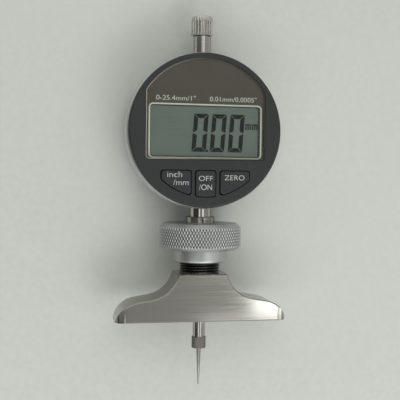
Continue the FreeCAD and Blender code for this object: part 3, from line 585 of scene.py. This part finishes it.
def knurledNut(sizes):
    # clamp nut with a diamond knurl rolled into its rim
    low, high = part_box("clamp_nut")
    bottom, top, radius = low.y / mm, high.y / mm, high.x / mm
    shoulder = bottom + sizes["sleeveHeight"]
    soft = sizes["edgeRounding"]
    bandStart, bandEnd = shoulder + sizes["footChamfer"], top - sizes["topChamfer"]
    outline = softOutline([
        (sizes["bore"], bottom, 0), (sizes["sleeveRadius"], bottom, sizes["sleeveRounding"]),
        (sizes["sleeveRadius"], shoulder, 0), (radius - sizes["footChamfer"], shoulder, soft),
        (radius, bandStart, soft), (radius, bandEnd, soft),
        (radius - sizes["topChamfer"], top, soft),
        (sizes["lipRadius"], top, 0), (sizes["lipRadius"], top - sizes["lip"], 0),
        (sizes["bore"], top - sizes["lip"], 0)])
    spacing = sizes["diamondHeight"] / sizes["facesPerDiamond"]
    outline = withRows(outline, radius - sizes["topChamfer"], spacing)
    columns = sizes["diamondsRound"] * sizes["facesPerDiamond"]
    blank = turnedMesh("knurledNut", outline, columns)
    mesh = patterned("knurledNut", blank, {
        "Grooves Round": sizes["diamondsRound"], "Rise": sizes["diamondHeight"] * mm,
        "Crossed": 1, "Depth": sizes["knurlDepth"] * mm, "Land": sizes["slopeShare"],
        "Start": shoulder * mm, "End": top * mm, "Fade": sizes["fade"] * mm,
        "Full Radius": radius * mm}, knurledAluminium())
    return placePiece("knurledNut", mesh, "nut", instead=["clamp_nut"])


threadSizes = {
    "pitch": 1.0, "depth": 0.75, "columns": 96, "rowsPerTurn": 8, "spigotRadius": 5.0,
    "spigotLength": 8.0, "holeRadius": 2.8, "bore": 5.07, "boreFloor": 2.5,
    "slopeShare": 0.42, "runOut": 0.5,
}


def threadedPost(sizes):
    # black post with the external thread that the nut climbs
    low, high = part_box("threaded_post")
    top, radius = high.y / mm, high.x / mm
    foot = low.y / mm + sizes["spigotLength"]
    outline = [(sizes["holeRadius"], low.y / mm), (sizes["spigotRadius"], low.y / mm),
               (sizes["spigotRadius"], foot), (radius, foot), (radius, top),
               (sizes["bore"], top), (sizes["bore"], foot + sizes["boreFloor"]),
               (sizes["holeRadius"], foot + sizes["boreFloor"])]
    onlyRim = radius - 0.01
    outline = withRows(outline, onlyRim, sizes["pitch"] / sizes["rowsPerTurn"])
    blank = turnedMesh("threadedPost", outline, sizes["columns"])
    mesh = patterned("threadedPost", blank, {
        "Grooves Round": 1, "Rise": sizes["pitch"] * mm, "Crossed": 0,
        "Depth": sizes["depth"] * mm, "Land": sizes["slopeShare"], "Start": foot * mm,
        "End": top * mm, "Fade": sizes["runOut"] * mm, "Full Radius": radius * mm},
        finishes["black_oxide_steel"])
    return placePiece("threadedPost", mesh, "foot",
                      instead=["threaded_post"])


contactSizes = {
    "headLength": 4.3, "headRounding": 0.3, "needleRadius": 0.85, "tipRadius": 0.25,
    "studRadius": 1.2, "studLength": 4.0, "diamondsRound": 20, "diamondHeight": 1.2,
    "knurlDepth": 0.26, "facesPerDiamond": 8, "slopeShare": 0.36, "fade": 0.15,
    "tipRounding": 0.12,
}


def contactPoint(sizes):
    # screwed-in measuring point: a knurled head and a long tapered needle
    low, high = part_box("contact_point")
    tip, studTop, radius = low.y / mm, high.y / mm, high.x / mm
    headTop = studTop - sizes["studLength"]
    headBottom = headTop - sizes["headLength"]
    soft = sizes["headRounding"]
    outline = softOutline([
        (0, tip, 0), (sizes["tipRadius"], tip, sizes["tipRounding"]),
        (sizes["needleRadius"], headBottom, 0),
        (radius, headBottom, soft), (radius, headTop, soft), (sizes["studRadius"], headTop, 0),
        (sizes["studRadius"], studTop, 0), (0, studTop, 0)])
    spacing = sizes["diamondHeight"] / sizes["facesPerDiamond"]
    outline = withRows(outline, radius - soft, spacing)
    columns = sizes["diamondsRound"] * sizes["facesPerDiamond"]
    blank = turnedMesh("contactPoint", outline, columns)
    mesh = patterned("contactPoint", blank, {
        "Grooves Round": sizes["diamondsRound"], "Rise": sizes["diamondHeight"] * mm,
        "Crossed": 1, "Depth": sizes["knurlDepth"] * mm, "Land": sizes["slopeShare"],
        "Start": headBottom * mm, "End": headTop * mm, "Fade": sizes["fade"] * mm,
        "Full Radius": radius * mm}, knurledSteel())
    return placePiece("contactPoint", mesh, "measuring_rod",
                      instead=["contact_point"])


knurledNut(nutSizes)
threadedPost(threadSizes)
contactPoint(contactSizes)
print("knurls and thread cut")


# Display: digits, frame and printing

def roundedRectangle(centre, width, height, radius, steps=6):
    points = []
    for quarter, (sx, sy) in enumerate(((1, 1), (-1, 1), (-1, -1), (1, -1))):
        cornerX = centre[0] + sx * (width / 2 - radius)
        cornerY = centre[1] + sy * (height / 2 - radius)
        for step in range(steps + 1):
            angle = math.pi / 2 * (quarter + step / steps)
            points.append((cornerX + radius * math.cos(angle),
                           cornerY + radius * math.sin(angle)))
    return points


def addPrism(builder, outline, rear, front, opening=None):
    # a flat plate between two depths; an opening has as many points as the outline
    loops = []
    for points in (outline, opening) if opening else (outline,):
        for depth in (rear, front):
            loops.append([builder.verts.new((x * mm, y * mm, depth * mm)) for x, y in points])
    if opening:
        pairs = [(loops[0], loops[1]), (loops[1], loops[3]), (loops[3], loops[2]),
                 (loops[2], loops[0])]
    else:
        pairs = [(loops[0], loops[1])]
        builder.faces.new(loops[0])
        builder.faces.new(loops[1])
    for first, second in pairs:
        for index in range(len(first)):
            following = (index + 1) % len(first)
            builder.faces.new((first[index], first[following], second[following],
                               second[index]))


readingSizes = {
    "text": "0.00", "left": -5.33, "foot": -7.87, "digitWidth": 5.45, "digitHeight": 13.95,
    "pitch": 6.85, "stroke": 1.6, "gap": 0.07, "slant": 0.07, "pointSize": 0.78,
    "unitLeft": 15.0, "unitFoot": 0.55, "unitHeight": 2.15, "unitLetter": 2.15,
    "unitGap": 0.42, "unitStroke": 0.47, "film": 0.02,
}


def zeroSegments(width, height, stroke, gap):
    # the six lit bars of a nought, as outlines from its lower left corner
    middle = height / 2
    left = [[(0, height - 2 * gap), (0, middle + gap), (stroke, middle + stroke / 2 + gap),
             (stroke, height - 2 * gap - stroke)],
            [(0, 2 * gap), (0, middle - gap), (stroke, middle - stroke / 2 - gap),
             (stroke, 2 * gap + stroke)]]
    right = [[(width - x, y) for x, y in bar] for bar in left]
    foot = [(2 * gap, 0), (width - 2 * gap, 0), (width - 2 * gap - stroke, stroke),
            (2 * gap + stroke, stroke)]
    head = [(x, height - y) for x, y in foot]
    return left + right + [foot, head]


def displayReading(sizes):
    # dark liquid-crystal bars on the front of the display glass
    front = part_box("lcd_panel")[1].z / mm
    rear, face = front - sizes["film"], front + sizes["film"]
    builder = bmesh.new()
    bars = []
    x = sizes["left"]
    for sign in sizes["text"]:
        if sign == ".":
            size = sizes["pointSize"]
            pointLeft = x - sizes["pitch"] + sizes["digitWidth"] + sizes["gap"]
            bars.append([(pointLeft, 0), (pointLeft + size, 0), (pointLeft + size, size),
                         (pointLeft, size)])
            continue
        digit = zeroSegments(sizes["digitWidth"], sizes["digitHeight"], sizes["stroke"],
                             sizes["gap"])
        bars += [[(x + px, py) for px, py in bar] for bar in digit]
        x += sizes["pitch"]
    bars = [[(px + sizes["slant"] * py, py + sizes["foot"]) for px, py in bar] for bar in bars]
    for letter in range(2):
        start = sizes["unitLeft"] + letter * (sizes["unitLetter"] + sizes["unitGap"])
        foot, top = sizes["unitFoot"], sizes["unitFoot"] + sizes["unitHeight"]
        thick = sizes["unitStroke"]
        bars.append([(start, top - thick), (start + sizes["unitLetter"], top - thick),
                     (start + sizes["unitLetter"], top), (start, top)])
        for stem in range(3):
            stemLeft = start + stem * (sizes["unitLetter"] - thick) / 2
            bars.append([(stemLeft, foot), (stemLeft + thick, foot),
                         (stemLeft + thick, top - thick), (stemLeft, top - thick)])
    for bar in bars:
        addPrism(builder, [(px, py + dialHeight) for px, py in bar], rear, face)
    mesh = meshFrom(builder, "displayReading")
    ink = printedInk("liquidCrystal", "#0C1210", "#090E0C", ior=1.15)
    return placePiece("displayReading", mesh, "indicator", ink)


frameSizes = {"centre": (0, -0.37), "width": 42.4, "height": 20.1, "line": 0.54,
              "corner": 1.7, "film": 0.02, "marginRight": 0.95, "marginTop": 0.42,
              "marginRest": 0.05}


def windowFrame(sizes):
    # pale line printed on the mask round the display
    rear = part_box("window_mask")[1].z / mm
    centre = (sizes["centre"][0], sizes["centre"][1] + dialHeight)
    line = sizes["line"]
    outer = roundedRectangle(centre, sizes["width"], sizes["height"], sizes["corner"])
    inner = roundedRectangle(centre, sizes["width"] - 2 * line, sizes["height"] - 2 * line,
                             sizes["corner"] - line)
    builder = bmesh.new()
    addPrism(builder, outer, rear - sizes["film"], rear + sizes["film"], inner)
    mesh = meshFrom(builder, "windowFrame")
    placePiece("windowFrame", mesh, "indicator", paleInk)
    # painted shadow: a dark band between the line and the display, where the mask's edge shades
    # the deeper display, wider at the right and the top
    right, head, rest = sizes["marginRight"], sizes["marginTop"], sizes["marginRest"]
    opening = roundedRectangle((centre[0] + (rest - right) / 2, centre[1] + (rest - head) / 2),
                               sizes["width"] - 2 * line - right - rest,
                               sizes["height"] - 2 * line - head - rest,
                               sizes["corner"] - line - rest)
    builder = bmesh.new()
    addPrism(builder, inner, rear - sizes["film"], rear + sizes["film"], opening)
    mesh = meshFrom(builder, "displayShadowBand")
    return placePiece("displayShadowBand", mesh, "indicator", paintedShadeInk)


windowSizes = {"halfWidth": 22.4, "arcRadius": 26.6, "foot": -10.9, "corner": 1.6,
               "gap": 0.2, "edge": 0.24, "proud": 0.015, "cornerSteps": 8, "arcSteps": 96}


def windowOutline(sizes, inset):
    # the window from its lower right corner round its arc to the lower left one
    half, arc = sizes["halfWidth"] - inset, sizes["arcRadius"] - inset
    corner, foot = sizes["corner"] - inset, sizes["foot"] + inset
    side = math.acos(half / arc)
    cornerSteps, arcSteps = sizes["cornerSteps"], sizes["arcSteps"]
    points = []
    for step in range(cornerSteps + 1):
        angle = -math.pi / 2 * (1 - step / cornerSteps)
        points.append((half - corner + corner * math.cos(angle),
                       foot + corner + corner * math.sin(angle)))
    for step in range(arcSteps + 1):
        angle = side + (math.pi - 2 * side) * step / arcSteps
        points.append((arc * math.cos(angle), arc * math.sin(angle)))
    for step in range(cornerSteps + 1):
        angle = math.pi + math.pi / 2 * step / cornerSteps
        points.append((corner - half + corner * math.cos(angle),
                       foot + corner + corner * math.sin(angle)))
    return [(x, y + dialHeight) for x, y in points]


def windowEdge(sizes):
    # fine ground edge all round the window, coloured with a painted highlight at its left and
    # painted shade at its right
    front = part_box("window_panel")[1].z / mm
    builder = bmesh.new()
    addPrism(builder, windowOutline(sizes, sizes["gap"]), front - sizes["proud"],
             front + sizes["proud"], windowOutline(sizes, sizes["gap"] + sizes["edge"]))
    mesh = meshFrom(builder, "windowEdge")
    return placePiece("windowEdge", mesh, "indicator", paintedLightEdge())


def lettering(name, words, box, depth, film, body, ink, weight=0.0):
    # words stretched into box, which is left, right, foot and head from the dial's centre;
    # a negative weight makes the strokes thinner
    curve = bpy.data.curves.new(name, "FONT")
    curve.body = words
    curve.offset = weight
    curve.extrude = film * mm
    source = bpy.data.objects.new(name + "Curve", curve)
    bpy.context.scene.collection.objects.link(source)
    depsgraph = bpy.context.evaluated_depsgraph_get()
    mesh = bpy.data.meshes.new_from_object(source.evaluated_get(depsgraph))
    bpy.data.objects.remove(source)
    xs = [vertex.co.x for vertex in mesh.vertices]
    ys = [vertex.co.y for vertex in mesh.vertices]
    left, right, foot, head = [side * mm for side in box]
    scaleX = (right - left) / (max(xs) - min(xs))
    scaleY = (head - foot) / (max(ys) - min(ys))
    for vertex in mesh.vertices:
        vertex.co.x = left + (vertex.co.x - min(xs)) * scaleX
        vertex.co.y = foot + (vertex.co.y - min(ys)) * scaleY + dialHeight * mm
        vertex.co.z += depth * mm
    builder = bmesh.new()
    builder.from_mesh(mesh)
    bmesh.ops.remove_doubles(builder, verts=builder.verts, dist=1e-8)
    mesh = meshFrom(builder, name)
    return placePiece(name, mesh, body, ink)


paleInk = printedInk("paleInk", "#CBD0C6", "#C2C7BD")
# painted shade: a near-black ink used only by the painted shadow band round the display
paintedShadeInk = printedInk("paintedShadeInk", "#191C1B", "#151817")
keyInk = printedInk("keyInk", "#D6D8D8", "#CDCFCF")
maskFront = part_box("window_mask")[1].z / mm
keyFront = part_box("button_off_on")[1].z / mm
wordSizes = {"panelFilm": 0.012, "keyFilm": 0.015, "keyWeight": -0.014}
panelWords = {
    "rangeWords": ("0-25.4mm/1\"", (-18.5, -3.9, 10.75, 12.55)),
    "stepWords": ("0.01mm/0.0005\"", (1.4, 19.1, 10.75, 12.55)),
}
keyWords = {
    "inchWord": ("inch", (-14.3, -8.9, -17.3, -15.25), "inch_mm_key"),
    "mmWord": ("/mm", (-12.1, -6.5, -20.2, -18.15), "inch_mm_key"),
    "offWord": ("OFF", (-2.6, 2.6, -18.55, -16.75), "off_on_key"),
    "onWord": ("/ON", (-2.5, 2.3, -21.9, -19.9), "off_on_key"),
    "zeroWord": ("ZERO", (7.1, 14.5, -18.2, -16.4), "zero_key"),
}

displayReading(readingSizes)
windowFrame(frameSizes)
windowEdge(windowSizes)
for name, (words, box) in panelWords.items():
    lettering(name, words, box, maskFront, wordSizes["panelFilm"], "indicator",
              paleInk)
for name, (words, box, body) in keyWords.items():
    lettering(name, words, box, keyFront, wordSizes["keyFilm"], body,
              keyInk, wordSizes["keyWeight"])
print("display and lettering made")


# Floor, light and camera

floorSizes = {"side": 2400, "sink": 0.02}


def layFloor(sizes):
    # pale board; the gauge lies on its nut and on the top edge of its back cover
    nutLow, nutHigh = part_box("clamp_nut")
    coverLow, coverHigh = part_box("back_cover")
    nutEdge = nutHigh.y - nutSizes["topChamfer"] * mm
    tilt = math.atan2(coverLow.z - nutLow.z, coverHigh.y - nutEdge)
    builder = bmesh.new()
    half = sizes["side"] / 2 * mm
    corners = []
    for x, y in ((-half, -half), (half, -half), (half, half), (-half, half)):
        height = nutLow.z - sizes["sink"] * mm + y * math.tan(tilt)
        corners.append(builder.verts.new((x, y + nutEdge, height)))
    builder.faces.new(corners)
    mesh = bpy.data.meshes.new("board")
    builder.to_mesh(mesh)
    builder.free()
    board = bpy.data.objects.new("board", mesh)
    bpy.context.scene.collection.objects.link(board)
    mesh.materials.append(mouldedPlastic("boardLacquer", tone="#D0D3CD", shade="#CCCFC9",
                                         fleck="#D3D6D0", grain=(2.5, 2.5, 2.5),
                                         cloud=(160, 160, 160), roughness=(0.55, 0.65),
                                         relief=0.004))


# Each polished piece mirrors its own height of the lamps, so the panels are cut there: the
# neck sees those over 200, the stem those over -50, the base those from -112 to -50 and the
# spindle those below. The end panels fill the rounded ends of the base.
lampSizes = {
    "stemPanelRight": {"place": (225, 10, 600), "size": (220, 120), "radiance": 0.8},
    "basePanelRight": {"place": (268, -82, 600), "size": (176, 60), "radiance": 2.2},
    "spindlePanelRight": {"place": (225, -178, 600), "size": (220, 120), "radiance": 0.85},
    "neckPanelRight": {"place": (180, 238, 600), "size": (120, 76), "radiance": 1.0},
    "neckPanelLeft": {"place": (-60, 238, 600), "size": (300, 76), "radiance": 0.42},
    "stemPanelLeft": {"place": (-190, 70, 600), "size": (170, 180), "radiance": 0.9},
    "spindlePanelLeft": {"place": (-190, -128, 600), "size": (170, 32), "radiance": 1.3},
    "endPanelLeft": {"place": (-480, -85, 380), "size": (760, 56), "radiance": 0.42},
    "endPanelRight": {"place": (700, -124, 500), "size": (600, 56), "radiance": 2.4},
    "farPanelRight": {"place": (770, -112, 120), "size": (900, 50), "radiance": 1.2},
    "softBox": {"place": (420, -480, 700), "size": (400, 300), "radiance": 3.0},
    "topFill": {"place": (-60, 420, 650), "size": (500, 300), "radiance": 0.95},
    "footFill": {"place": (80, -560, 600), "size": (500, 260), "radiance": 3.0},
    "leftFill": {"place": (-480, -420, 650), "size": (400, 300), "radiance": 2.0},
}


def hangLamps(lamps, aim=(0, 45, 0)):
    # radiance 1 shows as white; the power follows from it and the panel's area; all face aim
    target, upwards = Vector(aim) * mm, Vector((0, 1, 0))
    for name, sizes in lamps.items():
        lamp = bpy.data.lights.new(name, "AREA")
        lamp.shape = "RECTANGLE"
        lamp.size, lamp.size_y = [side * mm for side in sizes["size"]]
        lamp.energy = sizes["radiance"] * math.pi * lamp.size * lamp.size_y
        holder = bpy.data.objects.new(name, lamp)
        spot = Vector(sizes["place"]) * mm
        back = (spot - target).normalized()
        across = upwards.cross(back).normalized()
        turn = Matrix((across, back.cross(across), back)).transposed()
        holder.matrix_world = Matrix.Translation(spot) @ turn.to_4x4()
        bpy.context.scene.collection.objects.link(holder)


# levels are brightnesses; each span gives where along X or Y, as a share of the direction's
# length, the room starts to change and where it has changed
roomSizes = {
    "leftLevel": 0.05, "rightLevel": 0.33, "sideSpan": (-0.6, 0.35),
    "footLevel": 0.7, "footSpan": (-0.35, -0.75), "headLevel": 0.8, "headSpan": (0.08, 0.5),
}


def makeRoom(sizes):
    # an even room, darker to the left, with pale walls beyond both ends of the gauge
    world = bpy.data.worlds.new("room")
    bpy.context.scene.world = world
    world.use_nodes = True
    tree = world.node_tree
    tree.nodes.clear()
    way = addNode(tree, "ShaderNodeTexCoord")
    axes = addNode(tree, "ShaderNodeSeparateXYZ", {0: way.outputs["Generated"]})
    leftEnd, rightEnd = sizes["sideSpan"]
    level = addNode(tree, "ShaderNodeMapRange", {
        "Value": axes.outputs[0], "From Min": leftEnd, "From Max": rightEnd,
        "To Min": sizes["leftLevel"], "To Max": sizes["rightLevel"]},
        interpolation_type="SMOOTHSTEP")
    for wall in ("foot", "head"):
        start, end = sizes[wall + "Span"]
        share = addNode(tree, "ShaderNodeMapRange", {
            "Value": axes.outputs[1], "From Min": start, "From Max": end},
            interpolation_type="SMOOTHSTEP")
        level = addNode(tree, "ShaderNodeMix", {0: share.outputs[0], 2: level.outputs[0],
                                                3: sizes[wall + "Level"]})
    room = addNode(tree, "ShaderNodeBackground", {"Color": colour("#FBFBF7"),
                                                  "Strength": level.outputs[0]})
    addNode(tree, "ShaderNodeOutputWorld", {"Surface": room.outputs[0]})


cameraSizes = {"pitchDegrees": 1.39, "yawDegrees": 10.93, "rollDegrees": -0.69,
               "across": -0.442, "up": -45.148, "distance": 289.26, "focalPixels": 757.5,
               "imagePixels": 400, "sensor": 36}


def placeCamera(sizes):
    # turns the photographed gauge into the camera's axes and places the camera from that
    turn = (Matrix.Rotation(math.radians(sizes["rollDegrees"]), 3, "Z")
            @ Matrix.Rotation(math.radians(sizes["pitchDegrees"]), 3, "X")
            @ Matrix.Rotation(math.radians(sizes["yawDegrees"]), 3, "Y"))
    data = bpy.data.cameras.new("photoCamera")
    data.sensor_width = sizes["sensor"]
    data.lens = sizes["focalPixels"] / sizes["imagePixels"] * sizes["sensor"]
    data.clip_start = 10 * mm
    camera = bpy.data.objects.new("photoCamera", data)
    spot = turn.transposed() @ Vector((-sizes["across"], -sizes["up"], sizes["distance"])) * mm
    camera.matrix_world = Matrix.Translation(spot) @ turn.transposed().to_4x4()
    bpy.context.scene.collection.objects.link(camera)
    bpy.context.scene.camera = camera


layFloor(floorSizes)
hangLamps(lampSizes)
makeRoom(roomSizes)
placeCamera(cameraSizes)
bpy.context.scene.view_settings.view_transform = "Standard"
print("floor, lamps and camera placed")
